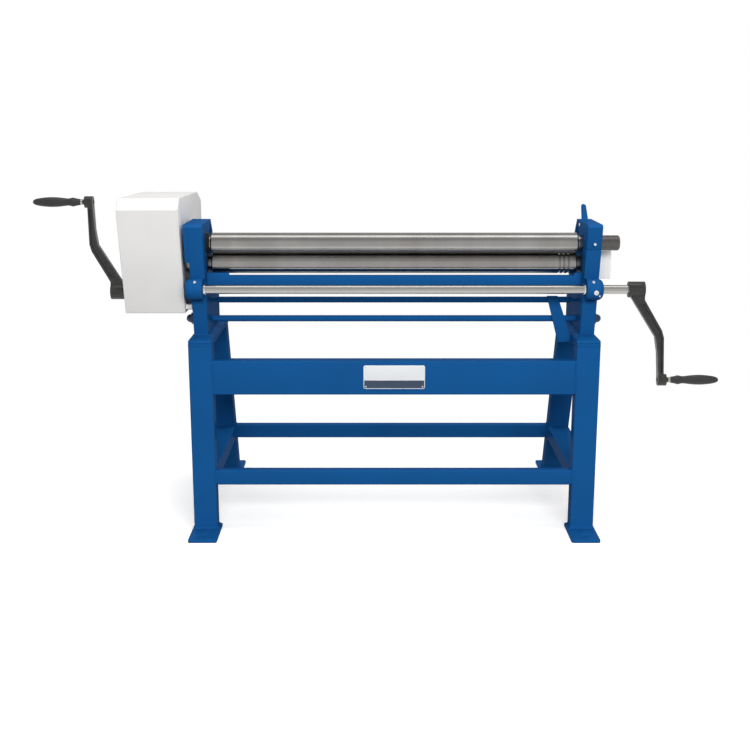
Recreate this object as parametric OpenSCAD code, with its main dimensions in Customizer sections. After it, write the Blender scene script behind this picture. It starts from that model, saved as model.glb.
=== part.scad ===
// Manual slip roll on a fabricated stand.
// X runs along the rolls, +Y to the back, +Z up. The origin lies on the floor,
// in the middle of the four anchor holes.

/* [Stand] */
// Width over the outer faces of the legs
stand_width = 1196; // [900:1:1600]
// Height of the top plates above the floor
stand_height = 572; // [420:1:760]
// Depth from the front edge of the front feet to the back edge of the rear feet
footprint_depth = 800; // [700:1:1000]
// Width of each leg along the rolls
leg_width = 69; // [50:1:100]
// Depth of each leg tube, square to its length
leg_depth = 50; // [35:1:70]
// Wall of the leg tubes
leg_wall = 5; // [3:0.5:8]
// Lean of the rear legs
rear_leg_lean = 22.9; // [12:0.1:27]
// Thickness of the foot plates
foot_thickness = 8; // [5:1:16]
// Length of each foot plate, front to back
foot_length = 152; // [120:1:190]
// How far a front foot plate reaches in front of its leg
foot_toe = 100; // [60:1:115]
// Width of each foot plate
foot_width = 84; // [60:1:120]
// How far the foot plates reach past the outer faces of the legs
foot_outside = 5; // [0:1:15]
// Diameter of the anchor holes
anchor_hole_d = 14; // [9:0.5:20]
// Distance of the anchor holes from the front or back end of a foot plate
anchor_edge = 38; // [20:1:45]
// Thickness of the top plates
top_plate_thickness = 8; // [5:1:14]

/* [Cross members] */
// Height of the front beam
beam_height = 101; // [70:1:140]
// How far the beam's lower edge lies below the top plates' upper faces
beam_drop = 151; // [130:1:260]
// Flange depth of the front beam
beam_depth = 42; // [25:1:50]
// Height of the two lower stretchers
stretcher_height = 45; // [30:1:70]
// Height of the stretchers' lower edge above the floor
stretcher_bottom = 145; // [80:1:220]
// Flange depth of the stretchers
stretcher_depth = 30; // [20:1:45]
// Sheet thickness of the beam and the stretchers
channel_wall = 4; // [3:0.5:6]
// Width of the name plate
plate_width = 179; // [100:1:200]
// Height of the name plate
plate_height = 70; // [40:1:80]
// Thickness of the name plate
plate_thickness = 1.5; // [0.5:0.5:3]

/* [Head] */
// Thickness of each side housing
housing_thickness = 42; // [30:1:60]
// Height of the housings above the stand
housing_height = 346; // [330:1:420]
// Lean of the housings' front edges
head_lean = 12; // [4:0.5:16]
// Height of the chamfered base plates under the housings
head_foot_height = 19; // [14:1:40]
// Thickness of the bearing plate on the left housing
bearing_plate_thickness = 12; // [5:1:14]
// Gap between the fixed housing and the bearing cap
cap_gap = 1; // [0.5:0.1:2]
// Height of the lug that stops the opened bearing cap
lug_height = 45; // [30:1:70]

/* [Rolls] */
// Diameter of the three rolls
roll_d = 60; // [48:1:72]
// Length of the roll bodies
roll_length = 1060; // [800:1:1400]
// Gap between the two feed rolls
roll_gap = 1.5; // [1:0.1:4]
// Angle of the feed rolls' centre line from upright
pair_lean = 12; // [5:0.5:45]
// Journal diameter of the feed rolls
journal_d = 44; // [34:1:50]
// Journal diameter of the bending roll
bend_journal_d = 30; // [22:1:36]
// Length of the top roll's stub past the right housing
stub_length = 66; // [20:1:76]
// Height of the top roll's axis above the stand
top_roll_rise = 285; // [270:1:300]
// Distance of the top roll's axis behind the legs' front face
top_roll_setback = 75; // [65:1:95]
// Free space between the bending roll and the lower roll at the closest
bend_clearance = 44; // [6:0.5:50]
// Lean of the bending roll's guides
guide_lean = 31; // [24:0.5:36]
// Travel of the bending roll down from rest
travel_down = 38; // [20:1:42]
// Travel of the bending roll up from rest
travel_up = 50; // [30:1:52]
// Width of the bending roll's bearing blocks
block_width = 44; // [36:1:50]
// Length of the bearing blocks along the guides
block_length = 54; // [44:1:60]
// Width of each wire groove
groove_width = 5; // [3:0.5:8]

/* [Adjuster] */
// Diameter of the adjusting shaft
shaft_d = 26; // [18:1:32]
// Height of the adjusting shaft above the stand
shaft_rise = 160; // [150:1:170]
// Diameter of the worm boxes round the shaft
worm_box_d = 62; // [46:1:66]

/* [Cranks] */
// Radius of both cranks
crank_radius = 261; // [200:1:300]
// Sideways offset of the crank grips from their hubs
crank_offset = 81; // [60:1:100]
// Hub diameter
hub_d = 46; // [40:1:60]
// Hub length
hub_length = 46; // [32:1:60]
// Depth of the crank arms
arm_depth = 28; // [20:1:34]
// Length of the turning grips
grip_length = 139; // [110:1:160]
// Greatest radius of the grips
grip_r = 14.5; // [11:0.5:18]
// Angle of both cranks from upright at rest
crank_rest = 5; // [0:0.5:20]
// Height of the drive shaft above the stand
drive_rise = 139; // [125:1:150]
// Distance of the drive shaft behind the legs' front face
drive_setback = 100; // [85:1:150]
// Length of the bosses that hold the grip pins
boss_length = 24; // [18:1:34]
// Diameter of those bosses
boss_d = 34; // [28:1:46]

/* [Gear cover] */
// Width of the gear cover
cover_width = 170; // [120:1:220]
// Sheet thickness of the gear cover
cover_wall = 2.5; // [1.5:0.5:4]
// Gap between the left housing and the gear cover
cover_gap = 26; // [18:1:40]

/* [Hidden] */
$fn = 64;
// Radial clearance of shafts and journals in their bearings
run_fit = 0.05;
// Clearance round sliding blocks
slide_fit = 0.4;
// Clearance round parts that pass through a hole without touching
pass_gap = 6;

// Stand
half_w = stand_width / 2;
leg_in = half_w - leg_width;
foot_front_y = -footprint_depth / 2;
face_y = foot_front_y + foot_toe;
foot_rear_y = footprint_depth / 2 - foot_length;
anchor_x = half_w + foot_outside - foot_width / 2;
anchor_y = footprint_depth / 2 - anchor_edge;
leg_top = stand_height - top_plate_thickness;
beam_bottom = stand_height - beam_drop;
rear_leg_run = leg_depth / cos(rear_leg_lean);
rear_leg_foot_y = foot_rear_y + 19;
function rear_leg_y(z) = rear_leg_foot_y - (z - foot_thickness) * tan(rear_leg_lean);
top_plate_back = rear_leg_y(leg_top) + rear_leg_run + 2;

// Head
house_out = half_w - 12;
house_in = house_out - housing_thickness;
house_base = stand_height + head_foot_height;
house_top = stand_height + housing_height;
top_y = face_y + top_roll_setback;
top_z = stand_height + top_roll_rise;
pair_step = roll_d + roll_gap;
low_y = top_y + pair_step * sin(pair_lean);
low_z = top_z - pair_step * cos(pair_lean);
// The bending roll rests on its guide line, beside and above the lower roll
guide_off = roll_d + bend_clearance;
rest_back = 26;
guide = [-sin(guide_lean), cos(guide_lean)];
bend_y = low_y + guide_off * cos(guide_lean) - rest_back * guide[0];
bend_z = low_z + guide_off * sin(guide_lean) - rest_back * guide[1];
slot_low = -(travel_down + block_length / 2 + 1);
slot_high = travel_up + block_length / 2 + 1;
shaft_y = face_y;
shaft_z = stand_height + shaft_rise;
journal_r = journal_d / 2;
bearing_r = journal_r + run_fit;
cap_r = journal_r + 0.4;
// Pin of the bearing cap
knuckle_r = 12;
cap_pin_r = 5;
cap_y = top_y + 37;
cap_z = house_top - knuckle_r;
cap_split_angle = 53;
seam_drop = 10.6;
head_front_low = face_y + 47;
head_front_top = head_front_low - (house_top - house_base) * tan(head_lean);
head_back_low = face_y + 306;
head_back_knee = stand_height + 118;
head_back_mid = face_y + 212;
head_back_top = face_y + 169;
worm_out = house_out + 11;
worm_in = house_in + 4;
// Space from the lower roll's underside down to the middle of the bar below it
bar_drop = 15.844;
bar_a = [face_y + 60, low_z - roll_d / 2 - bar_drop];
bar_b = [face_y + 130, stand_height + 110];
tie = [face_y + 132, stand_height + 53];
bar_b_d = 18;
tie_d = 19;

// Drive and gear cover
drive_y = face_y + drive_setback;
drive_z = stand_height + drive_rise;
drive_d = 25;
cover_in = house_out + cover_gap;
cover_out = cover_in + cover_width;
hub_in = cover_out + 5;
journal_out = cover_in + 98;
hub_in_right = house_out + stub_length + 17;
pin_d = 10;
ferrule_len = 13;
boss_mid = hub_length / 2 + crank_offset;
boss_in = boss_mid - boss_length / 2;
boss_out = boss_mid + boss_length / 2;

blue = "#1a5490";
steel = "#a9a7a4";
bright = "#c2bfba";
castiron = "#444442";
offwhite = "#e4e3e1";
black = "#38383a";

// ---------- helpers ----------

// Extrude a [y, z] outline along X from x0 to x1
module along_x(x0, x1) {
    translate([x0, 0, 0]) rotate([90, 0, 90]) linear_extrude(x1 - x0) children();
}

// Extrude an [x, z] outline along Y from y0 to y1
module along_y(y0, y1) {
    translate([0, y1, 0]) rotate([90, 0, 0]) linear_extrude(y1 - y0) children();
}

// Round bar along X
module bar_x(d, x0, x1, y, z) {
    translate([x0, y, z]) rotate([0, 90, 0]) cylinder(d = d, h = x1 - x0);
}

// Hexagonal nut along X
module nut_x(across, x0, x1, y, z) {
    translate([x0, y, z]) rotate([0, 90, 0]) cylinder(d = across / cos(30), h = x1 - x0, $fn = 6);
}

// Right-hand part and its mirror image on the left
module side(s) {
    if (s > 0) children();
    else mirror([1, 0, 0]) children();
}

// ---------- stand ----------

module front_leg(s) {
    side(s) color(blue) difference() {
        translate([leg_in, face_y, foot_thickness])
            cube([leg_width, leg_depth, leg_top - foot_thickness]);
        translate([leg_in + leg_wall, face_y + leg_wall, foot_thickness - 1])
            cube([leg_width - 2 * leg_wall, leg_depth - 2 * leg_wall, leg_top]);
    }
}

module rear_leg(s) {
    wall_run = leg_wall / cos(rear_leg_lean);
    lift = 1;
    side(s) color(blue) difference() {
        along_x(leg_in, half_w) polygon([
            [rear_leg_y(foot_thickness), foot_thickness],
            [rear_leg_y(foot_thickness) + rear_leg_run, foot_thickness],
            [rear_leg_y(leg_top) + rear_leg_run, leg_top],
            [rear_leg_y(leg_top), leg_top]
        ]);
        along_x(leg_in + leg_wall, half_w - leg_wall) polygon([
            [rear_leg_y(foot_thickness - lift) + wall_run, foot_thickness - lift],
            [rear_leg_y(foot_thickness - lift) + rear_leg_run - wall_run, foot_thickness - lift],
            [rear_leg_y(leg_top + lift) + rear_leg_run - wall_run, leg_top + lift],
            [rear_leg_y(leg_top + lift) + wall_run, leg_top + lift]
        ]);
    }
}

module foot_plate(s, y0, hole_y) {
    side(s) color(blue) difference() {
        translate([half_w + foot_outside - foot_width, y0, 0])
            cube([foot_width, foot_length, foot_thickness]);
        translate([anchor_x, hole_y, -1]) cylinder(d = anchor_hole_d, h = foot_thickness + 2);
    }
}

module front_foot(s) {
    foot_plate(s, foot_front_y, -anchor_y);
}

module rear_foot(s) {
    foot_plate(s, foot_rear_y, anchor_y);
}

module top_plate(s) {
    side(s) color(blue)
        translate([leg_in, face_y, leg_top])
            cube([leg_width, top_plate_back - face_y, top_plate_thickness]);
}

// Folded channel between the legs, open to the back (dir 1) or to the front (dir -1)
module channel(y, z, height, depth, dir) {
    y0 = dir > 0 ? y : y - depth;
    cut = dir > 0 ? y + channel_wall : y - depth - 1;
    color(blue) difference() {
        translate([-leg_in, y0, z]) cube([2 * leg_in, depth, height]);
        translate([-leg_in - 1, cut, z + channel_wall])
            cube([2 * leg_in + 2, depth - channel_wall + 1, height - 2 * channel_wall]);
    }
}

module front_beam() {
    channel(face_y, beam_bottom, beam_height, beam_depth, 1);
}

module front_stretcher() {
    channel(face_y, stretcher_bottom, stretcher_height, stretcher_depth, 1);
}

module rear_stretcher() {
    mid_y = rear_leg_y(stretcher_bottom + stretcher_height / 2) + rear_leg_run / 2;
    channel(mid_y - stretcher_depth / 2, stretcher_bottom, stretcher_height, stretcher_depth, 1);
}

// Folded channels between the front and rear legs, open below
module side_rails() {
    color(blue) for (s = [-1, 1]) side(s) difference() {
        side_rail(leg_in, half_w, stretcher_bottom, stretcher_bottom + stretcher_height);
        side_rail(leg_in + channel_wall, half_w - channel_wall,
                  stretcher_bottom - 1, stretcher_bottom + stretcher_height - channel_wall);
    }
}

// Bar from x0 to x1 and z0 to z1 that fills the depth between the legs
module side_rail(x0, x1, z0, z1) {
    front = face_y + leg_depth;
    along_x(x0, x1) polygon([
        [front, z0], [rear_leg_y(z0), z0], [rear_leg_y(z1), z1], [front, z1]
    ]);
}

module name_plate() {
    lift = 3;
    color("#d9dadb")
        translate([-plate_width / 2, face_y - plate_thickness,
                   beam_bottom + (beam_height - plate_height) / 2 + lift])
            cube([plate_width, plate_thickness, plate_height]);
}

// ---------- head ----------

// Base plate under a housing, chamfered from its rim up to the housing
module head_foot(s) {
    rim = stand_height + 9;
    front = face_y + 1;
    back = head_back_low + 42;
    side(s) color(blue) intersection() {
        along_y(front, back) polygon([
            [leg_in, stand_height], [half_w, stand_height], [half_w, rim],
            [house_out, house_base], [house_in, house_base], [leg_in, rim]
        ]);
        along_x(leg_in, half_w) polygon([
            [front, stand_height], [back, stand_height], [back, rim],
            [head_back_low, house_base], [head_front_low, house_base], [front, rim]
        ]);
    }
}

// Outline of a side housing in [y, z]
module housing_outline() {
    front_round = 7;
    polygon([
        [head_front_low, house_base],
        [head_front_top, house_top - front_round],
        [head_front_top + front_round, house_top],
        [head_back_top, house_top],
        [head_back_mid, house_top - 50],
        [head_back_low, head_back_knee],
        [head_back_low, house_base]
    ]);
}

// Inclined guide window for a bearing block, centred on the guide line
module guide_window(extra) {
    translate([bend_y, bend_z]) rotate(guide_lean)
        translate([-block_width / 2 - extra, slot_low])
            square([block_width + 2 * extra, slot_high - slot_low]);
}

module housing_body(s) {
    side(s) along_x(house_in, house_out) difference() {
        housing_outline();
        guide_window(slide_fit);
        translate([shaft_y, shaft_z]) circle(d = worm_box_d + 0.4);
    }
}

module housing_left() {
    color(blue) difference() {
        housing_body(-1);
        bar_x(2 * bearing_r, -house_out - 1, -house_in + 1, top_y, top_z);
        bar_x(2 * bearing_r, -house_out - 1, -house_in + 1, low_y, low_z);
        // Bearing recess in the inner face
        bar_x(journal_d + 22, -house_in - 10, -house_in + 1, top_y, top_z);
        // Blind bearing of the drive shaft
        bar_x(drive_d + 2 * run_fit, -house_out - 1, -house_in - 8, drive_y, drive_z);
    }
}

// Room of the bearing cap in [y, z], drawn back by gap along its seams.
// The seams meet the bore at opposite ends of a diameter, so the roll lifts out.
module cap_room(gap) {
    reach = 200;
    lip = journal_r * [cos(cap_split_angle), sin(cap_split_angle)];
    rear = cap_y - knuckle_r - gap;
    polygon([
        [head_front_top - reach, top_z - seam_drop + gap],
        [head_front_low, top_z - seam_drop + gap],
        [top_y - lip[0], top_z - lip[1] + gap],
        [top_y + lip[0] - gap, top_z + lip[1]],
        [rear, cap_z - knuckle_r / 2],
        [rear, house_top + reach],
        [head_front_top - reach, house_top + reach]
    ]);
}

module housing_right() {
    ear = housing_thickness / 3;
    fork_in = house_in + ear - 0.5;
    fork_out = house_out - ear + 0.5;
    color(blue) difference() {
        union() {
            difference() {
                housing_body(1);
                along_x(house_in - 1, house_out + 1) cap_room(0);
                // Rounds the ears about the hinge pin
                translate([house_in - 1, cap_y - knuckle_r - 1, cap_z])
                    cube([housing_thickness + 2, knuckle_r + 1, knuckle_r + 1]);
            }
            bar_x(2 * knuckle_r, house_in, house_out, cap_y, cap_z);
            cap_lug();
        }
        bar_x(2 * bearing_r, house_in - 1, house_out + 1, top_y, top_z);
        bar_x(2 * bearing_r, house_in - 1, house_out + 1, low_y, low_z);
        // Fork for the cap's knuckle
        bar_x(2 * knuckle_r + 4, fork_in, fork_out, cap_y, cap_z);
        translate([fork_in, cap_y - knuckle_r - 2, cap_z])
            cube([fork_out - fork_in, 2 * knuckle_r + 4, knuckle_r + 2]);
        bar_x(2 * cap_pin_r, house_in - 1, house_out + 1, cap_y, cap_z);
    }
}

module bearing_cap() {
    ear = housing_thickness / 3;
    color(blue) difference() {
        union() {
            along_x(house_in, house_out) intersection() {
                housing_outline();
                cap_room(cap_gap);
            }
            // Knuckle on the pin
            bar_x(2 * knuckle_r, house_in + ear, house_out - ear, cap_y, cap_z);
            translate([house_in + ear, cap_y - 2 * knuckle_r, cap_z - knuckle_r / 3])
                cube([housing_thickness - 2 * ear, 2 * knuckle_r, knuckle_r / 3 + knuckle_r]);
        }
        bar_x(2 * cap_r, house_in - 1, house_out + 1, top_y, top_z);
        bar_x(2 * (cap_pin_r + run_fit), house_in - 1, house_out + 1, cap_y, cap_z);
    }
}

// Lug at the back of the right housing's top; the opened cap rests against it
module cap_lug() {
    width = 17;
    depth = 18;
    sway = 5;
    tip_r = 6;
    translate([(house_in + house_out) / 2, head_back_top - 2, house_top - 1])
        rotate([90, 0, 0]) linear_extrude(depth) {
            translate([-sway, lug_height - tip_r]) circle(tip_r);
            polygon([
                [-width / 2, 0], [width / 2, 0],
                [tip_r - sway, lug_height - tip_r], [-tip_r - sway, lug_height - tip_r]
            ]);
        }
}

module cap_pin() {
    color(steel) bar_x(2 * cap_pin_r, house_in - 3, house_out + 3, cap_y, cap_z);
}

module bearing_plate_left() {
    plate_out = house_out + bearing_plate_thickness;
    reach = 250;
    height = 110;
    color(blue) difference() {
        along_x(-plate_out, -house_out) difference() {
            intersection() {
                housing_outline();
                translate([head_front_top, house_top - height]) square([reach, height]);
            }
            guide_window(slide_fit);
        }
        bar_x(journal_d + pass_gap, -plate_out - 1, -house_out + 1, top_y, top_z);
        bar_x(journal_d + pass_gap, -plate_out - 1, -house_out + 1, low_y, low_z);
    }
}

// ---------- bars between the housings ----------

module bar_upper() {
    height = 28;
    depth = 20;
    lug_left = 65;
    lug_right = 22;
    lug_rise = 8;
    lug_depth = 8;
    color(blue) translate([0, bar_a[0] - depth / 2, bar_a[1]]) {
        translate([-house_in, 0, -height / 2]) cube([2 * house_in, depth, height]);
        translate([-house_in, 0, height / 2]) cube([lug_left, lug_depth, lug_rise]);
        translate([house_in - lug_right, 0, height / 2]) cube([lug_right, lug_depth, lug_rise]);
    }
}

module bar_lower() {
    neck = 20;
    color(blue) {
        bar_x(bar_b_d, -house_in + neck, house_in - neck, bar_b[0], bar_b[1]);
        bar_x(bar_b_d - 7, -house_in, house_in, bar_b[0], bar_b[1]);
    }
}

module tie_rod() {
    color(blue) bar_x(tie_d, -house_in, house_in, tie[0], tie[1]);
}

// Washer and cap nut at each end of the tie rod
module tie_nuts() {
    washer = 4;
    nut = 16;
    cap = 14;
    color("#1c2c42") for (s = [-1, 1]) side(s) {
        bar_x(38, house_out, house_out + washer, tie[0], tie[1]);
        nut_x(30, house_out + washer, house_out + washer + nut, tie[0], tie[1]);
        bar_x(25, house_out + washer + nut, house_out + washer + nut + cap, tie[0], tie[1]);
    }
}

// Flat bar from the lower bar down to the inner edge of the right top plate
module diagonal_strut() {
    width = 32;
    thickness = 8;
    head_x = leg_in - 59;
    head_z = bar_b[1] + 13;
    weld = 16;
    y1 = bar_b[0] - bar_b_d / 2;
    color(blue) along_y(y1 - thickness, y1) polygon([
        [head_x - width / 2, head_z], [head_x + width / 2, head_z],
        [leg_in, stand_height], [leg_in, stand_height - weld],
        [leg_in - width - 6, stand_height - weld]
    ]);
}

// ---------- adjuster ----------

module worm_box(s) {
    bevel = 10;
    length = worm_out - worm_in;
    side(s) color(blue) translate([worm_in, shaft_y, shaft_z]) rotate([0, 90, 0])
        rotate_extrude() polygon([
            [shaft_d / 2 + run_fit, 0], [worm_box_d / 2, 0],
            [worm_box_d / 2, length - bevel], [worm_box_d / 2 - bevel * 0.6, length],
            [shaft_d / 2 + run_fit, length]
        ]);
}

module adjuster_cover() {
    width = 60;
    depth = 86;
    height = 84;
    top = bend_z - 2;
    color(offwhite) difference() {
        translate([house_out, bend_y - 45, top - height]) cube([width, depth, height]);
        translate([house_out - 1, bend_y - 45 + cover_wall, top - height + cover_wall])
            cube([width + 1 - cover_wall, depth - 2 * cover_wall, height - 2 * cover_wall]);
    }
}

module adjusting_shaft() {
    color(bright) bar_x(shaft_d, -worm_in - 44, hub_in_right + hub_length - 4, shaft_y, shaft_z);
}

// ---------- rolls ----------

module top_roll() {
    half = roll_length / 2;
    color(steel) {
        bar_x(roll_d, -half, half, top_y, top_z);
        bar_x(journal_d, -journal_out, house_out + stub_length, top_y, top_z);
    }
}

module lower_roll() {
    half = roll_length / 2;
    pitch = 13;
    color(steel) difference() {
        union() {
            bar_x(roll_d, -half, half, low_y, low_z);
            bar_x(journal_d, -journal_out, house_out, low_y, low_z);
        }
        for (i = [0:2]) translate([half - 24 - i * pitch, low_y, low_z]) rotate([0, 90, 0])
            rotate_extrude() translate([roll_d / 2, 0]) circle(d = groove_width);
    }
}

module bending_roll() {
    half = roll_length / 2;
    color(steel) {
        bar_x(roll_d, -half, half, bend_y, bend_z);
        bar_x(bend_journal_d, -house_out + 2, house_out - 2, bend_y, bend_z);
    }
}

module bearing_block(s) {
    side(s) color(castiron) difference() {
        along_x(house_in, house_out - 1) translate([bend_y, bend_z]) rotate(guide_lean)
            translate([-block_width / 2, -block_length / 2]) square([block_width, block_length]);
        bar_x(bend_journal_d + 2 * run_fit, house_in - 1, house_out + 1, bend_y, bend_z);
    }
}

// ---------- cranks ----------

// Crank arm with its hub's inner face at x = 0 and its axis on X; the arm points up
module crank_arm(bore) {
    shaft_stop = 3;
    recess = 7;
    color(castiron) difference() {
        union() {
            rotate([0, 90, 0]) cylinder(d = hub_d, h = hub_length);
            translate([boss_in, 0, crank_radius]) rotate([0, 90, 0])
                cylinder(d = boss_d, h = boss_length);
            along_y(-arm_depth / 2, arm_depth / 2) arm_outline();
        }
        for (s = [-1, 1]) translate([0, s * (arm_depth / 2 - recess / 2), 0])
            along_y(-recess / 2 - (s < 0 ? 1 : 0), recess / 2 + (s > 0 ? 1 : 0)) arm_web();
        translate([-1, 0, 0]) rotate([0, 90, 0])
            cylinder(d = bore + 2 * run_fit, h = hub_length - shaft_stop + 1);
        translate([boss_in - 1, 0, crank_radius]) rotate([0, 90, 0])
            cylinder(d = pin_d, h = boss_length + 2);
    }
}

// Outline of the arm in [x, z]: out of the hub, over the knee and up to the boss
module arm_outline() {
    knee = crank_radius * 0.46;
    polygon([
        [13, 8], [hub_length, 8], [hub_length, 29],
        [boss_mid - 6, knee - 3], [boss_mid, knee + 18], [boss_mid + 3, crank_radius - 4],
        [boss_in, crank_radius - 4], [boss_mid - 16, knee + 60], [boss_mid - 23, knee + 17],
        [10, 24]
    ]);
}

// Sunk web of the arm in [x, z], with a rim left all round
module arm_web() {
    knee = crank_radius * 0.46;
    top = crank_radius - boss_d / 2 - 5;
    polygon([
        [30, 40], [43, 40],
        [boss_mid - 12, knee], [boss_mid - 5, knee + 20], [boss_mid - 2, top],
        [boss_in + 5, top], [boss_mid - 11, knee + 60], [boss_mid - 18, knee + 14]
    ]);
}

module grip_pin() {
    seat = 3;
    collar_d = 16;
    color(bright) translate([0, 0, crank_radius]) rotate([0, 90, 0]) {
        translate([0, 0, boss_in + seat])
            cylinder(d = pin_d, h = boss_length - seat + ferrule_len + grip_length - 18);
        translate([0, 0, boss_out]) cylinder(d = collar_d, h = ferrule_len - 0.5);
    }
}

module grip() {
    r = grip_r;
    l = grip_length;
    blind = 14;
    hole = pin_d / 2 + 0.1;
    color(black) translate([boss_out + ferrule_len, 0, crank_radius])
        rotate([0, 90, 0]) rotate_extrude() polygon([
            [hole, 0], [0.62 * r, 0], [0.74 * r, l * 0.085], [0.92 * r, l * 0.15],
            [0.78 * r, l * 0.21], [0.72 * r, l * 0.25], [0.84 * r, l * 0.36],
            [0.95 * r, l * 0.46], [r, l * 0.56], [r, l * 0.66], [0.9 * r, l * 0.76],
            [0.72 * r, l * 0.86], [0.52 * r, l * 0.93], [0.3 * r, l * 0.975],
            [0, l], [0, l - blind], [hole, l - blind]
        ]);
}

// Drive crank on the left, arm up
module at_drive_crank() {
    translate([-hub_in, drive_y, drive_z]) rotate([-crank_rest, 0, 0]) mirror([1, 0, 0]) children();
}

// Adjusting crank on the right, arm down
module at_adjusting_crank() {
    translate([hub_in_right, shaft_y, shaft_z]) rotate([180 - crank_rest, 0, 0]) children();
}

module drive_shaft() {
    color(bright) bar_x(drive_d, -hub_in - hub_length + 4, -house_in - 9, drive_y, drive_z);
}

// ---------- gear cover ----------

// Outline of the gear cover in [y, z], drawn in by inset
module cover_outline(inset) {
    low = stand_height + 84;
    i = inset;
    polygon([
        [face_y + 39 + i, low + i], [face_y - 31 + i, low + 305 - i * 0.3],
        [face_y + 3 + i * 0.4, low + 335 - i], [face_y + 347 - i * 0.2, low + 329 - i],
        [face_y + 415 - i, low + 299 - i * 0.6], [face_y + 415 - i, low + 40 + i * 0.4],
        [face_y + 372 - i * 0.4, low + i]
    ]);
}

module gear_cover() {
    color(offwhite) difference() {
        along_x(-cover_out, -cover_in) cover_outline(0);
        along_x(-cover_out + cover_wall, -cover_in + 1) cover_outline(cover_wall);
        bar_x(drive_d + 8, -cover_out - 1, -cover_in, drive_y, drive_z);
    }
}

// Back plate of the gear cover with the three bars that hold it to the housing
module gear_cover_back() {
    plate = 4;
    rise = 100;
    color(offwhite) {
        difference() {
            along_x(-cover_in, -cover_in + plate) cover_outline(0);
            bar_x(journal_d + pass_gap, -cover_out, 0, top_y, top_z);
            bar_x(journal_d + pass_gap, -cover_out, 0, low_y, low_z);
            bar_x(drive_d + pass_gap, -cover_out, 0, drive_y, drive_z);
        }
        for (setback = [58, 165, 272])
            bar_x(16, -cover_in + plate / 2, -house_out, face_y + setback, stand_height + rise);
    }
}

front_leg(-1);  // front_leg_left
front_leg(1);  // front_leg_right
rear_leg(-1);  // rear_leg_left
rear_leg(1);  // rear_leg_right
front_foot(-1);  // front_foot_left
front_foot(1);  // front_foot_right
rear_foot(-1);  // rear_foot_left
rear_foot(1);  // rear_foot_right
top_plate(-1);  // top_plate_left
top_plate(1);  // top_plate_right
front_beam();
front_stretcher();
rear_stretcher();
side_rails();
name_plate();
head_foot(-1);  // head_foot_left
head_foot(1);  // head_foot_right
housing_left();
housing_right();
bearing_plate_left();
bearing_cap();
cap_pin();
bar_upper();
bar_lower();
tie_rod();
tie_nuts();
diagonal_strut();
worm_box(-1);  // worm_box_left
worm_box(1);  // worm_box_right
adjuster_cover();
gear_cover();
gear_cover_back();
top_roll();
lower_roll();
bending_roll();
bearing_block(-1);  // bearing_block_left
bearing_block(1);  // bearing_block_right
adjusting_shaft();
at_adjusting_crank() crank_arm(shaft_d);  // adjusting_crank_arm
at_adjusting_crank() grip_pin();  // adjusting_grip_pin
at_adjusting_crank() grip();  // adjusting_grip
drive_shaft();
at_drive_crank() crank_arm(drive_d);  // drive_crank_arm
at_drive_crank() grip_pin();  // drive_grip_pin
at_drive_crank() grip();  // drive_grip
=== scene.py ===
"""Looks of a hand-cranked slip roll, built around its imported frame."""
import logging
import math
from dataclasses import dataclass, field
from enum import Enum
from typing import Callable, Iterable, Sequence

import bmesh
import bpy
from mathutils import Matrix, Vector


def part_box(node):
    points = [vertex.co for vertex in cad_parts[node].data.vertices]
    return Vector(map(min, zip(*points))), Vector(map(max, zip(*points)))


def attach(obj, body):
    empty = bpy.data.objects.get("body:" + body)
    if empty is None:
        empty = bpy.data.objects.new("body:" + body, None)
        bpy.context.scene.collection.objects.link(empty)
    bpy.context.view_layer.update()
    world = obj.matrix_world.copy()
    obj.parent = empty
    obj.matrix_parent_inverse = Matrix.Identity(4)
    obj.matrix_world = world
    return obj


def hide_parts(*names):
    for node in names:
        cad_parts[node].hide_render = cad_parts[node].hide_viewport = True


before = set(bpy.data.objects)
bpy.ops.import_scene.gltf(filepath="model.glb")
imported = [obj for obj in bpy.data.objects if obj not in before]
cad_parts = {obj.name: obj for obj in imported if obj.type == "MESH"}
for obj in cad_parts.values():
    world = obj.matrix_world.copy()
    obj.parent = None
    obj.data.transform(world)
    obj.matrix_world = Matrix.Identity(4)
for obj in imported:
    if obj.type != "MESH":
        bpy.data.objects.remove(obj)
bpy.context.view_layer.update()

MM = 0.001
PURE_WHITE = (1.0, 1.0, 1.0, 1.0)
log = logging.getLogger("slip_roll")

Edge = bmesh.types.BMEdge
EdgeTest = Callable[[Edge], bool]
Point = tuple[float, float, float]
Profile = Sequence[tuple[float, float]]
Tree = bpy.types.NodeTree
Socket = bpy.types.NodeSocket


class Side(Enum):
    """The two ends of the machine, seen from the front."""

    LEFT = -1
    RIGHT = 1

    @property
    def word(self) -> str:
        """Name of the side as the frame's nodes spell it."""
        return self.name.lower()


class Axis(Enum):
    """Directions that turned pieces lie in, each as the axis of a quarter turn from upright."""

    X = (0.0, 1.0, 0.0)
    FRONT = (1.0, 0.0, 0.0)

    def turn(self) -> Matrix:
        """Rotation that carries an upright piece into this direction."""
        return Matrix.Rotation(math.pi / 2, 4, Vector(self.value))


# ---------------------------------------------------------------- materials

def linear(code: str) -> tuple[float, float, float, float]:
    """Turn an sRGB hex colour into linear values.

    Args:
        code: Colour such as "#1a5490".

    Returns:
        Red, green, blue and an alpha of 1, linear.
    """
    parts = [int(code[i:i + 2], 16) / 255 for i in (1, 3, 5)]
    values = [p / 12.92 if p <= 0.04045 else ((p + 0.055) / 1.055) ** 2.4 for p in parts]
    return (*values, 1.0)


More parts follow.
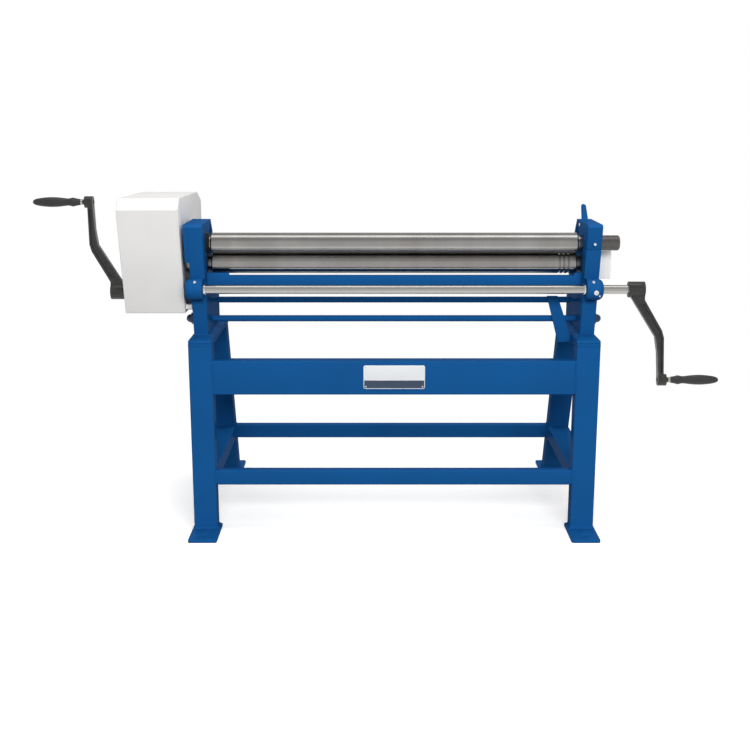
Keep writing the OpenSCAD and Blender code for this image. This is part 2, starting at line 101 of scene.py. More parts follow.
def add(tree: Tree, kind: str, links: dict | None = None, **settings: object) -> bpy.types.Node:
    """Add a node with its settings and inputs.

    Args:
        tree: Node tree that gets the node.
        kind: Blender's name of the node type, without ShaderNode before it.
        links: Input socket to a value, or to what feeds it: an output socket, or a node's first one.
        **settings: Properties of the node itself.

    Returns:
        The new node.
    """
    node = tree.nodes.new("ShaderNode" + kind)
    for key, value in settings.items():
        setattr(node, key, value)
    for socket, value in (links or {}).items():
        if isinstance(value, bpy.types.Node):
            value = value.outputs[0]
        if isinstance(value, bpy.types.NodeSocket):
            tree.links.new(value, node.inputs[socket])
        else:
            node.inputs[socket].default_value = value
    return node


def fresh_tree(owner: bpy.types.Material | bpy.types.World) -> Tree:
    """Give a material or the world an empty node tree.

    Args:
        owner: What gets the nodes.

    Returns:
        Its tree.
    """
    owner.use_nodes = True
    owner.node_tree.nodes.clear()
    return owner.node_tree


@dataclass(frozen=True)
class Layer:
    """A noise pattern whose grain has a real size, and what it changes on the surface.

    Colour: greatest share, other colour, then the noise values where the blend starts and ends.
    Gloss: how far the roughness falls below and rises above the finish's own.
    Relief: depth in millimetres, and the share of it that shows.
    """

    grain_mm: Sequence[float]
    detail: float
    tint: Sequence[float | str] = ()
    gloss: Sequence[float] = ()
    relief: Sequence[float] = ()


@dataclass(frozen=True)
class Canvas:
    """A material in the making, and the brushes that draw layers on it."""

    tree: Tree
    shader: bpy.types.Node
    place: Socket
    roughness: float

    def draw(self, layer: Layer) -> None:
        """Draw a layer with all that it changes.

        Args:
            layer: The layer.
        """
        value = self.noise(layer.grain_mm, layer.detail)
        strokes = ((self.tint, layer.tint), (self.gloss, layer.gloss), (self.relief, layer.relief))
        for brush, amounts in strokes:
            if amounts:
                brush(value, *amounts)

    def noise(self, grain_mm: Sequence[float], detail: float) -> Socket:
        """Make noise around 0.5 whose grain has a real size in millimetres along X, Y and Z."""
        mapped = add(self.tree, "Mapping",
                     {"Vector": self.place, "Scale": [1000 / g for g in grain_mm]})
        return add(self.tree, "TexNoise",
                   {"Vector": mapped, "Scale": 1.0, "Detail": detail}).outputs["Fac"]

    def spread(self, value: Socket, low: float, high: float, start: float = 0.3,
               end: float = 0.7) -> Socket:
        """Map noise from between start and end to between low and high."""
        return add(self.tree, "MapRange", {
            "Value": value, "From Min": start, "From Max": end, "To Min": low, "To Max": high,
        }).outputs[0]

    def tint(self, value: Socket, most: float, other: str, start: float = 0.3, end: float = 0.7) -> None:
        """Blend the present colour towards another one where a noise value is high.

        Args:
            value: The noise value.
            most: Greatest share of the other colour.
            other: The other colour, as sRGB hex.
            start: Noise at which the blend begins.
            end: Noise at which it is at its greatest.
        """
        amount = self.spread(value, 0.0, most, start, end)
        base = self.shader.inputs["Base Color"]
        mix = add(self.tree, "Mix", {"Factor": amount}, data_type="RGBA")
        first, second = mix.inputs[6], mix.inputs[7]
        if base.is_linked:
            self.tree.links.new(base.links[0].from_socket, first)
        else:
            first.default_value = base.default_value
        second.default_value = linear(other)
        self.tree.links.new(mix.outputs[2], base)

    def gloss(self, value: Socket, below: float, above: float) -> None:
        """Vary the roughness with a noise value, from below the finish's own to above it."""
        rough = self.spread(value, self.roughness - below, self.roughness + above)
        self.tree.links.new(rough, self.shader.inputs["Roughness"])

    def relief(self, height: Socket, depth_mm: float, strength: float) -> None:
        """Add bump of a real depth, on top of what the shader already has.

        Args:
            height: Noise value that gives the height.
            depth_mm: Depth in millimetres.
            strength: Share of the bump that shows.
        """
        links = {"Height": height, "Distance": depth_mm * MM, "Strength": strength}
        normal = self.shader.inputs["Normal"]
        if normal.is_linked:
            links["Normal"] = normal.links[0].from_socket
        bump = add(self.tree, "Bump", links)
        self.tree.links.new(bump.outputs[0], normal)


@dataclass(frozen=True)
class Finish:
    """Base of all surface finishes: a colour, a gloss and the marks that the making left."""

    name: str
    slot: str
    colour: str
    roughness: float = 0.4
    metallic: float = 0.0
    sheen_level: float = 0.5
    lacquer: float = 0.0
    lacquer_roughness: float = 0.25

    def material(self) -> bpy.types.Material:
        """Make the finish's material at its first use.

        Returns:
            The material.
        """
        known = bpy.data.materials.get(self.name)
        if known:
            return known
        made = bpy.data.materials.new(self.name)
        tree = fresh_tree(made)
        shader = add(tree, "BsdfPrincipled", {
            "Base Color": linear(self.colour), "Roughness": self.roughness, "Metallic": self.metallic,
        })
        if not self.metallic:
            shader.inputs["Specular IOR Level"].default_value = self.sheen_level
        if self.lacquer:
            shader.inputs["Coat Weight"].default_value = self.lacquer
            shader.inputs["Coat Roughness"].default_value = self.lacquer_roughness
        add(tree, "OutputMaterial", {"Surface": shader})
        place = add(tree, "TexCoord").outputs["Object"]
        canvas = Canvas(tree, shader, place, self.roughness)
        for layer in self.layers():
            canvas.draw(layer)
        return made

    def layers(self) -> Sequence[Layer]:
        """Patterns of the finish; a plain one has none."""
        return ()


@dataclass(frozen=True)
class Enamel(Finish):
    """Alkyd machine enamel, sprayed on steel: glossy, with orange peel and slight clouding."""

    shade: str = "#174a80"
    peel_mm: float = 5.0

    def layers(self) -> Sequence[Layer]:
        """Clouds in the colour, dull spots where hands and dust were, and the peel."""
        # Real peel is 1 to 2 mm; it is drawn coarser so that it shows from across a room
        return (Layer((260, 260, 260), 3.0, tint=(0.45, self.shade)),
                Layer((60, 60, 60), 4.0, gloss=(0.05, 0.1)),
                Layer([self.peel_mm] * 3, 1.0, relief=(0.12, 0.22)))


@dataclass(frozen=True)
class PowderCoat(Finish):
    """Polyester powder coat, baked on sheet steel: an even satin skin with a fine pimple."""

    def layers(self) -> Sequence[Layer]:
        """A faint grey haze of handling, and the pimple."""
        return (Layer((180, 180, 180), 4.0, tint=(0.3, "#d2d1cf")),
                Layer((2.5, 2.5, 2.5), 1.0, relief=(0.08, 0.25)))


@dataclass(frozen=True)
class GroundSteel(Finish):
    """Cylindrically ground roll steel: bright, with fine rings round it and a thin film of oil."""

    stain: str = "#7d7974"

    def layers(self) -> Sequence[Layer]:
        """Wide bands of wear, the oil film, grinding rings as changes of gloss, and a faint waviness."""
        # Real grinding marks are 0.1 mm apart; drawn as 12 mm wide streaks round the roll
        return (Layer((70, 900, 900), 3.0, tint=(0.35, "#7a7875")),
                Layer((320, 60, 60), 4.0, tint=(0.5, self.stain, 0.45, 0.8)),
                Layer((12, 600, 600), 1.0, gloss=(0.02, 0.03)),
                Layer((400, 90, 90), 0.0, relief=(0.02, 0.01)))


@dataclass(frozen=True)
class DrawnSteel(Finish):
    """Bright drawn bar: polished by its die, with long faint lines along it."""

    def layers(self) -> Sequence[Layer]:
        """Soft patches of handling, and the die lines."""
        return (Layer((50, 30, 30), 3.0, tint=(0.35, "#a29e98")),
                Layer((180, 1.6, 1.6), 2.0, gloss=(0.05, 0.1), relief=(0.015, 0.15)))


@dataclass(frozen=True)
class SandCast(Finish):
    """Grey iron from a sand mould under a dark varnish: grainy, with rubbed light patches."""

    def layers(self) -> Sequence[Layer]:
        """A coarse unevenness that is lighter in places, and the sand's grain."""
        # Moulding sand is 0.3 mm; the grain is drawn at 1.8 mm to show
        return (Layer((16, 16, 16), 3.0, tint=(0.6, "#333331"), relief=(0.6, 0.25)),
                Layer((1.8, 1.8, 1.8), 3.0, gloss=(0.08, 0.14), relief=(0.2, 0.35)))


@dataclass(frozen=True)
class Machined(Finish):
    """Iron or steel left as milled or plated: even, with short tool marks."""

    mark: str = "#8b8b8b"
    marks_mm: tuple[float, float, float] = (1.5, 1.5, 20.0)

    def layers(self) -> Sequence[Layer]:
        """Small darker spots of oil, and the tool marks."""
        return (Layer((9, 9, 9), 3.0, tint=(0.5, self.mark)),
                Layer(self.marks_mm, 2.0, gloss=(0.06, 0.1), relief=(0.03, 0.2)))


@dataclass(frozen=True)
class Moulded(Finish):
    """Phenolic moulding, such as a bakelite grip: satin black with a soft sheen of use."""

    def layers(self) -> Sequence[Layer]:
        """Wear by hands, greyer and glossier in places, and a fine unevenness."""
        return (Layer((40, 14, 14), 3.0, tint=(0.4, "#3c3c3d"), gloss=(0.08, 0.12)),
                Layer((3, 3, 3), 2.0, relief=(0.05, 0.12)))


@dataclass(frozen=True)
class BrushedPlate(Finish):
    """Anodised aluminium plate, brushed along its length before the dye."""

    def layers(self) -> Sequence[Layer]:
        """The brush lines."""
        return (Layer((40, 2, 0.9), 2.0, gloss=(0.05, 0.1), relief=(0.01, 0.1)),)


class Look(Enum):
    """Every finish on the machine."""

    BLUE = Enamel("blue_machine_enamel", "blue_paint", "#155592", 0.42, sheen_level=0.0, lacquer=0.05)
    WHITE = PowderCoat("offwhite_powder_coat", "white_paint", "#eae9e8", 0.55, sheen_level=0.3)
    # A brighter copy of the white powder coat for the adjuster cover. Its base is raised to make up for the
    # light that the cover gets less of, so it is partly painted light.
    BRIGHTENED_WHITE = PowderCoat("white_powder_coat", "white_paint", "#fafafb", 0.55, sheen_level=0.3)
    ROLL = GroundSteel("ground_roll_steel", "ground_steel", "#9b9997", 0.22, 1.0)
    STUB = Machined("turned_black_bar_end", "ground_steel", "#6a6766", 0.45, 1.0, mark="#575452",
                    marks_mm=(1.2, 60.0, 60.0))
    SHAFT = DrawnSteel("bright_drawn_shaft", "drawn_steel", "#a9a8a5", 0.24, 1.0)
    ZINC = Machined("zinc_plated_steel", "zinc_steel", "#e9ebed", 0.26, 1.0, mark="#cfd2d5")
    CRANK = SandCast("varnished_cast_iron", "crank_iron", "#1c1c1c", 0.32, sheen_level=0.45)
    BLOCK = Machined("milled_cast_iron", "block_iron", "#6a6967", 0.45, 1.0, mark="#4c4b4a")
    GRIP = Moulded("black_phenolic_grip", "black_plastic", "#2a2a2b", 0.4, sheen_level=0.35)
    HARDWARE = Machined("painted_over_black_oxide", "dark_hardware", "#16345a", 0.42, mark="#122844")
    PLATE = BrushedPlate("silver_anodised_plate", "blank_plate", "#dfe2e4", 0.4)
    BAND = BrushedPlate("dark_anodised_band", "blank_plate", "#2c3b4f", 0.4)
    # Near-black bush colour: painted shade for the journal gaps and the left recess, which lie in shade.
    SHADE_BUSH = Machined("bearing_bush_painted_shade", "block_iron", "#1d1a18", 0.6, sheen_level=0.3, mark="#121010")


# ---------------------------------------------------------------- shaping

GRIP_SHAPE = ((0.0, 0.6), (0.015, 0.64), (0.085, 0.73), (0.125, 0.86), (0.15, 0.92), (0.18, 0.88),
              (0.21, 0.78), (0.25, 0.72), (0.29, 0.74), (0.36, 0.84), (0.46, 0.95), (0.56, 1.0),
              (0.66, 1.0), (0.76, 0.91), (0.86, 0.79), (0.93, 0.65), (0.975, 0.47), (0.995, 0.24),
              (1.0, 0.0))      # shares of a grip's length and of its radius
LONG_EDGE = 0.4                # m, least length of a tube's corner or a channel's fold
NEAR = 1 * MM                  # how close to a face still counts as on it


def spans(node: str) -> tuple[Vector, Vector]:
    """Lowest and highest corner of a frame node."""
    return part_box(node)


def middle(node: str) -> Vector:
    """Centre of a frame node's box."""
    low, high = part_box(node)
    return (low + high) / 2


def radius_of(node: str) -> float:
    """Radius of a round frame node that lies along X."""
    low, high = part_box(node)
    return (high.z - low.z) / 2


def ends(node: str, side: Side) -> list[float]:
    """Distances of a frame node's inner and outer end from the machine's middle, on a side."""
    return sorted(corner.x * side.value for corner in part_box(node))


def mm(*points: tuple[float, float]) -> Profile:
    """Profile whose points are given in millimetres."""
    return [(along * MM, radius * MM) for along, radius in points]


def put(name: str, data: bpy.types.ID) -> bpy.types.Object:
    """Put data in the scene as an object.

    Args:
        name: Name of the object.
        data: Mesh, lamp or camera.

    Returns:
        The new object.
    """
    made = bpy.data.objects.new(name, data)
    bpy.context.scene.collection.objects.link(made)
    return made


def midpoint(edge: Edge) -> Vector:
    """Middle of an edge."""
    return (edge.verts[0].co + edge.verts[1].co) / 2


def is_long(edge: Edge) -> bool:
    """Test for the long edges of a tube or a channel."""
    return edge.calc_length() > LONG_EDGE


def arc(centre: tuple[float, float], radius: float, start: float, end: float, steps: int = 6) -> Profile:
    """Points on an arc of a turned profile; 0 degrees points along the axis, 90 away from it."""
    angles = [math.radians(start + (end - start) * i / steps) for i in range(steps + 1)]
    return [(centre[0] + radius * math.cos(a), centre[1] + radius * math.sin(a)) for a in angles]


def hexagon(across: float, height: float) -> Profile:
    """Profile that gives a hexagon nut with turned-off corners when it is turned in six steps."""
    radius, ease = across / 2 / math.cos(math.pi / 6), across * 0.05
    return [(0, 0), (0, radius), (height - ease, radius), (height, radius - ease * 1.6), (height, 0)]


class Form:
    """A shape in the making, in metres in the machine's frame."""

    def __init__(self) -> None:
        """Start with nothing."""
        self.bm = bmesh.new()

    @classmethod
    def of_node(cls, node: str) -> "Form":
        """Copy a frame node, with its loose triangles merged and its flat faces joined.

        Args:
            node: Name of the node.

        Returns:
            The copy.
        """
        form = cls()
        form.bm.from_mesh(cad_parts[node].data)
        bmesh.ops.remove_doubles(form.bm, verts=form.bm.verts, dist=0.005 * MM)
        bmesh.ops.dissolve_limit(form.bm, angle_limit=math.radians(0.3), verts=form.bm.verts,
                                 edges=form.bm.edges)
        return form

    @classmethod
    def block(cls, low: Sequence[float], high: Sequence[float]) -> "Form":
        """Make a rectangular block.

        Args:
            low: Its lowest corner.
            high: Its highest corner.

        Returns:
            The block.
        """
        form = cls()
        low, high = Vector(low), Vector(high)
        verts = bmesh.ops.create_cube(form.bm, size=1.0)["verts"]
        bmesh.ops.scale(form.bm, vec=high - low, verts=verts)
        bmesh.ops.translate(form.bm, vec=(low + high) / 2, verts=verts)
        return form

    @classmethod
    def turned(cls, profile: Profile, at: Sequence[float], axis: Axis = Axis.X,
               steps: int = 64) -> "Form":
        """Turn a piece on a lathe.

        Args:
            profile: Position along the axis and radius of each corner, in metres.
            at: Point of the axis where positions are counted from.
            axis: Direction of the axis.
            steps: Number of flats round the axis.

        Returns:
            The turned form, closed at its ends if the profile starts and ends on the axis.
        """
        form = cls()
        points = [form.bm.verts.new((radius, 0.0, along)) for along, radius in profile]
        edges = [form.bm.edges.new(pair) for pair in zip(points, points[1:])]
        bmesh.ops.spin(form.bm, geom=points + edges, axis=(0, 0, 1), cent=(0, 0, 0), dvec=(0, 0, 0),
                       angle=2 * math.pi, steps=steps, use_merge=True, use_duplicate=False)
        bmesh.ops.remove_doubles(form.bm, verts=form.bm.verts, dist=0.001 * MM)
        bmesh.ops.recalc_face_normals(form.bm, faces=form.bm.faces)
        return form.place(Matrix.Translation(Vector(at)) @ axis.turn())

    @classmethod
    def about(cls, node: str, profile: Profile, x: float = 0.0,
              steps: int = 64) -> "Form":
        """Turn a profile about the long axis of a frame node, with positions counted from x."""
        centre = middle(node)
        return cls.turned(profile, (x, centre.y, centre.z), Axis.X, steps)

    @classmethod
    def rod(cls, node: str, ease: float = 0.6 * MM, steps: int = 48) -> "Form":
        """Make a round bar with eased ends that fills a frame node.

        Args:
            node: Name of the node, which lies along X.
            ease: Width of the easing.
            steps: Number of flats round the bar.

        Returns:
            The bar.
        """
        low, high = spans(node)
        radius, length = radius_of(node), high.x - low.x
        profile = [(0, 0), (0, radius - ease), (ease, radius), (length - ease, radius),
                   (length, radius - ease), (length, 0)]
        return cls.about(node, profile, low.x, steps)

    @classmethod
    def weld(cls, start: Sequence[float], end: Sequence[float], radius: float,
             pitch: float = 3.6 * MM) -> "Form":
        """Lay a rippled weld bead from one point to another.

        Args:
            start: First point.
            end: Last point.
            radius: Radius of the ripples.
            pitch: Distance between two ripples.

        Returns:
            The bead.
        """
        valley, taper = 0.86, 0.7
        form = cls()
        a, b = Vector(start), Vector(end)
        run = b - a
        count = max(2, round(run.length / pitch * 2))
        bmesh.ops.create_circle(form.bm, cap_ends=True, radius=radius * taper, segments=8)
        rim = form.bm.edges[:]
        for i in range(1, count + 1):
            made = bmesh.ops.extrude_edge_only(form.bm, edges=rim)["geom"]
            ring = [g for g in made if isinstance(g, bmesh.types.BMVert)]
            rim = [g for g in made if isinstance(g, Edge)]
            bmesh.ops.translate(form.bm, vec=(0, 0, run.length / count), verts=ring)
            here = sum((v.co for v in ring), Vector()) / len(ring)
            swell = radius * (1.0 if i % 2 else valley) * (taper if i == count else 1.0)
            for vert in ring:
                vert.co = here + (vert.co - here).normalized() * swell
        bmesh.ops.contextual_create(form.bm, geom=rim)
        bmesh.ops.recalc_face_normals(form.bm, faces=form.bm.faces)
        return form.place(Matrix.Translation(a) @ run.to_track_quat("Z", "Y").to_matrix().to_4x4())

    @classmethod
    def joined(cls, forms: Iterable["Form"]) -> "Form":
        """Join forms into one.

        Args:
            forms: The forms, which are used up.

        Returns:
            The joined form.
        """
        whole = cls()
        for form in forms:
            passing = bpy.data.meshes.new("passing")
            form.bm.to_mesh(passing)
            form.bm.free()
            whole.bm.from_mesh(passing)
            bpy.data.meshes.remove(passing)
        return whole

    def place(self, matrix: Matrix) -> "Form":
        """Move the whole form by a matrix."""
        bmesh.ops.transform(self.bm, matrix=matrix, verts=self.bm.verts)
        return self

    def on(self, side: Side) -> "Form":
        """Keep a form made on the right where it is, or mirror it to the left.

        Args:
            side: Where the form belongs.

        Returns:
            The form itself.
        """
        if side is Side.LEFT:
            bmesh.ops.scale(self.bm, vec=(-1, 1, 1), verts=self.bm.verts)
            bmesh.ops.reverse_faces(self.bm, faces=self.bm.faces)
        return self

    def ease(self, width: float, segments: int = 3, angle: float = 25.0,
             keep: EdgeTest | None = None) -> "Form":
        """Round the edges that turn by more than an angle.

        Args:
            width: Width of the rounding in metres.
            segments: Number of flats across it.
            angle: Least turn of the surface in degrees.
            keep: Extra test that an edge has to pass.

        Returns:
            The form itself.
        """
        limit = math.radians(angle)
        edges = [e for e in self.bm.edges if len(e.link_faces) == 2 and e.calc_face_angle(0) > limit
                 and (keep is None or keep(e))]
        bmesh.ops.bevel(self.bm, geom=edges, offset=width, offset_type="OFFSET", segments=segments,
                        profile=0.5, affect="EDGES", clamp_overlap=True, material=-1)
        return self

    def finish(self, name: str, body: str, look: Look, nodes: Sequence[str] = (),
               smooth: float = 32.0) -> bpy.types.Object:
        """Make the form a piece of the machine.

        Args:
            name: Name of the piece.
            body: Body that it rides on.
            look: Its finish.
            nodes: Frame nodes that it stands for.
            smooth: Greatest turn in degrees that is shaded round.

        Returns:
            The new object.
        """
        mesh = bpy.data.meshes.new(name)
        self.bm.to_mesh(mesh)
        self.bm.free()
        for face in mesh.polygons:
            face.use_smooth = True
        mesh.set_sharp_from_angle(angle=math.radians(smooth))
        piece = put(name, mesh)
        mesh.materials.append(look.value.material())
        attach(piece, body)
        if nodes:
            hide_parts(*nodes)
        log.info("%s: %d faces, %s, on %s", name, len(mesh.polygons), look.value.name, body)
        return piece

    def painted(self, name: str, *nodes: str) -> bpy.types.Object:
        """Make the form a blue piece of the standing part of the machine."""
        return self.finish(name, "stand", Look.BLUE, nodes)


def eased(node: str, suffix: str, edge: float, segments: int = 3, body: str = "stand",
          look: Look = Look.BLUE) -> None:
    """Make a frame node a piece of its own, with broken edges."""
    Form.of_node(node).ease(edge, segments).finish(f"{node}_{suffix}", body, look, [node])


def bead_ring(low: Sequence[float], high: Sequence[float], z: float, radius: float) -> list[Form]:
    """Weld beads round a rectangle, from the X and Y of two opposite corners and its height."""
    corners = [(low[0], low[1], z), (high[0], low[1], z), (high[0], high[1], z), (low[0], high[1], z)]
    return [Form.weld(a, b, radius) for a, b in zip(corners, corners[1:] + corners[:1])]


# ---------------------------------------------------------------- small hardware

@dataclass
class GreaseNipple:
    """A ball-headed grease nipple, 6 mm thread."""

    at: Point

    def form(self) -> Form:
        """Hexagon foot, waist and ball head."""
        head = mm((0, 0), (0, 4), (3, 4), (3.4, 2.6), (5, 2.2), (6, 3.2), (8, 2.8), (8.8, 1.2), (8.8, 0))
        return Form.turned(head, self.at, Axis.FRONT, 20)


@dataclass
class SocketScrew:
    """A socket head cap screw, seen from its head."""

    at: Point
    diameter: float = 8 * MM
    rim: float = 0.6 * MM

    def form(self) -> Form:
        """Make the head.

        Returns:
            The head, with an eased rim and a round socket.
        """
        radius, height = self.diameter * 0.75, self.diameter * 0.7
        socket, floor = radius * 0.5, height * 0.5
        profile = [(0, 0), (0, radius), (height - self.rim, radius), (height, radius - self.rim),
                   (height, socket), (floor, socket), (floor, 0)]
        return Form.turned(profile, self.at, Axis.FRONT, 24)


# ---------------------------------------------------------------- sub-assemblies

@dataclass
class Stand:
    """Four tube legs with their feet, top plates and folded cross members."""

    tube_round: float = 3 * MM
    plate_edge: float = 1 * MM
    foot_corner: float = 7 * MM
    fold_round: float = 4 * MM
    lip_edge: float = 0.5 * MM
    rail_round: float = 3 * MM
    rail_fold: float = 0.3
    bead: float = 3.2 * MM
    front_leg_depth: float = 0.05
    rear_leg_depth: float = 0.0543
    channels: tuple[str, ...] = ("front_beam", "front_stretcher", "rear_stretcher")

    def build(self) -> None:
        """Build every piece of the stand."""
        for side in Side:
            for row in ("front", "rear"):
                self.leg(f"{row}_leg_{side.word}")
                self.foot(f"{row}_foot_{side.word}")
            eased(f"top_plate_{side.word}", "flat", self.plate_edge, 2)
        for node in self.channels:
            self.channel(node)
        self.rails()
        self.welds()

    def leg(self, node: str) -> None:
        """Rectangular tube with its rolled corners."""
        form = Form.of_node(node).ease(self.tube_round, 5, keep=is_long)
        form.painted(f"{node}_tube", node)

    def foot(self, node: str) -> None:
        """Foot plate with rounded corners and broken edges.

        Args:
            node: Name of the foot.
        """
        low, high = spans(node)

        def is_corner(edge: Edge) -> bool:
            """Test for the upright edges of the plate's corners, not for the anchor hole's."""
            x, rise = midpoint(edge).x, abs(edge.verts[0].co.z - edge.verts[1].co.z)
            return rise > NEAR and min(x - low.x, high.x - x) < NEAR

        form = Form.of_node(node).ease(self.foot_corner, 6, 60, is_corner).ease(self.plate_edge, 2)
        form.painted(f"{node}_plate", node)

    def channel(self, node: str) -> None:
        """Folded channel: round folds, thin sheared lips.

        Args:
            node: Name of the channel.
        """
        low, high = spans(node)

        def is_fold(edge: Edge) -> bool:
            """Test for the two long folds of the channel."""
            spot = midpoint(edge)
            return (is_long(edge) and abs(spot.y - low.y) < NEAR
                    and min(abs(spot.z - low.z), abs(spot.z - high.z)) < NEAR)

        form = Form.of_node(node).ease(self.fold_round, 5, keep=is_fold).ease(self.lip_edge, 2, 60)
        form.painted(f"{node}_channel", node)

    def rails(self) -> None:
        """Side rails between the front and rear legs: round folds above, sheared lips below."""
        top = spans("side_rails")[1].z - NEAR

        def is_fold(edge: Edge) -> bool:
            """Test for the two long upper folds of each rail."""
            high_up = min(v.co.z for v in edge.verts) > top
            return edge.calc_length() > self.rail_fold and high_up and edge.is_convex

        form = Form.of_node("side_rails").ease(self.rail_round, 4, keep=is_fold)
        form.painted("side_rail_channels", "side_rails")

    def welds(self) -> None:
        """Beads round the leg feet, under the top plates and at the ends of the cross members."""
        beads: list[Form] = []
        for side in Side:
            for row in ("front", "rear"):
                beads += self.foot_beads(f"{row}_leg_{side.word}", row)
            low, high = spans(f"front_leg_{side.word}")
            y, z = low.y + self.front_leg_depth, high.z - 1 * MM
            beads.append(Form.weld((low.x, y, z), (high.x, y, z), self.bead))
            for node in self.channels:
                beads += self.channel_beads(node, side)
        Form.joined(beads).painted("stand_weld_beads")

    def foot_beads(self, leg: str, row: str) -> list[Form]:
        """Beads where a leg stands on its foot plate.

        Args:
            leg: Name of the leg.
            row: Whether it is a front or a rear leg.

        Returns:
            Four beads; a rear leg leans, so they are counted from its rear.
        """
        low, high = spans(leg)
        depth = self.front_leg_depth if row == "front" else self.rear_leg_depth
        back = high.y if row == "rear" else low.y + depth
        return bead_ring((low.x, back - depth), (high.x, back), low.z + 1 * MM, self.bead)

    def channel_beads(self, node: str, side: Side) -> list[Form]:
        """Upright bead in an end of a channel, and one over its top flange.

        Args:
            node: Name of the channel.
            side: Which of its ends.

        Returns:
            The two beads.
        """
        low, high = spans(node)
        x, y, inset = high.x * side.value, low.y + 1 * MM, 4 * MM
        return [Form.weld((x, y, low.z + inset), (x, y, high.z - inset), self.bead),
                Form.weld((x, low.y + inset, high.z), (x, high.y - 2 * MM, high.z), self.bead)]


@dataclass
class NamePlate:
    """A bare plate on the front beam, with a dark band along its foot and four rivets."""

    corner: float = 5 * MM
    edge: float = 0.3 * MM
    band_share: float = 0.36
    band_margin: float = 2 * MM
    band_proud: float = 0.25 * MM
    band_sunk: float = 0.4 * MM
    rivet: float = 2.6 * MM
    inset: float = 7 * MM

    def build(self) -> None:
        """Build the plate, its band and its rivets."""
        low, high = spans("name_plate")

        def upright(edge: Edge) -> bool:
            """Test for the edges at the corners, which run from front to back."""
            return abs(edge.verts[0].co.y - edge.verts[1].co.y) > (high.y - low.y) / 2

        plate = Form.block(low, high).ease(self.corner, 5, 60, upright).ease(self.edge, 2, 60)
        plate.finish("name_plate_blank", "stand", Look.PLATE, ["name_plate"])
        foot = (low.x + self.band_margin, low.y - self.band_proud, low.z + self.band_margin)
        head = (high.x - self.band_margin, low.y + self.band_sunk,
                low.z + (high.z - low.z) * self.band_share)
        band = Form.block(foot, head).ease(self.corner * 0.6, 4, 60, upright)
        band.finish("name_plate_band", "stand", Look.BAND)
        dome = [(-0.5 * MM, self.rivet), *arc((0, 0), self.rivet, 90, 0, 4)]
        rivets = [Form.turned(dome, (x, low.y, z), Axis.FRONT, 16)
                  for x in (low.x + self.inset, high.x - self.inset)
                  for z in (low.z + self.inset, high.z - self.inset)]
        Form.joined(rivets).finish("name_plate_rivets", "stand", Look.ZINC)


@dataclass
class Head:
    """The two side housings with the left bearing plate, the right cap and their hardware."""

    edge: float = 1.6 * MM
    foot_edge: float = 2 * MM
    plate_edge: float = 1 * MM
    bead: float = 2.6 * MM
    base_setback: float = 69.5 * MM
    nipple_height: float = 21.5 * MM

    def build(self) -> None:
        """Build the housings and what is on them."""
        for side in Side:
            eased(f"housing_{side.word}", "casting", self.edge)
            eased(f"head_foot_{side.word}", "wedge", self.foot_edge)
        eased("bearing_plate_left", "flat", self.plate_edge)
        self.cap()
        self.bushes()
        self.grease_point()
        self.welds()

    def cap(self) -> None:
        """Bearing cap and its hinge pin."""
        eased("bearing_cap", "casting", self.edge, body="cap")
        Form.rod("cap_pin", 1 * MM).finish("cap_pin_bar", "stand", Look.ZINC, ["cap_pin"])

    def bushes(self) -> None:
        """Dark bushes round the journals in the inner faces, and the sleeve in the left recess; both are
        painted shade, near-black rings put where the gaps at the roll ends and the recess lie in shade.
        """
        wall, bore = spans("housing_right")[0].x, 22.4
        rings: list[Form] = []
        for node, side in (("top_roll", Side.LEFT), ("lower_roll", Side.LEFT), ("lower_roll", Side.RIGHT)):
            outer, start = (32.6, 1) if node == "top_roll" else (27, -2)
            ring = mm((start, bore), (start, outer), (9, outer), (9, bore), (start, bore))
            rings.append(Form.about(node, ring, wall, 48).on(side))
        # The sleeve is painted shade: a near-black ring that darkens the left recess round the top roll's
        # journal.
        shade_sleeve = mm((-9, 22.3), (-9, 26), (-7, 28), (2, 28), (2, 22.3), (-9, 22.3))
        rings.append(Form.about("top_roll", shade_sleeve, wall).on(Side.LEFT))
        Form.joined(rings).finish("journal_bushes_painted_shade", "stand", Look.SHADE_BUSH)

    def grease_point(self) -> None:
        """Grease nipple on the front of the cap."""
        low, high = spans("bearing_cap")
        nipple = GreaseNipple(((low.x + high.x) / 2, low.y + 4 * MM, low.z + self.nipple_height))
        nipple.form().finish("cap_grease_nipple", "cap", Look.ZINC)

    def welds(self) -> None:
        """Beads where the housings stand on their base plates."""
        beads: list[Form] = []
        for side in Side:
            low, high = spans(f"housing_{side.word}")
            z = spans(f"head_foot_{side.word}")[1].z
            beads += bead_ring((low.x, low.y + self.base_setback), (high.x, high.y - 1 * MM), z, self.bead)
        Form.joined(beads).painted("head_weld_beads")


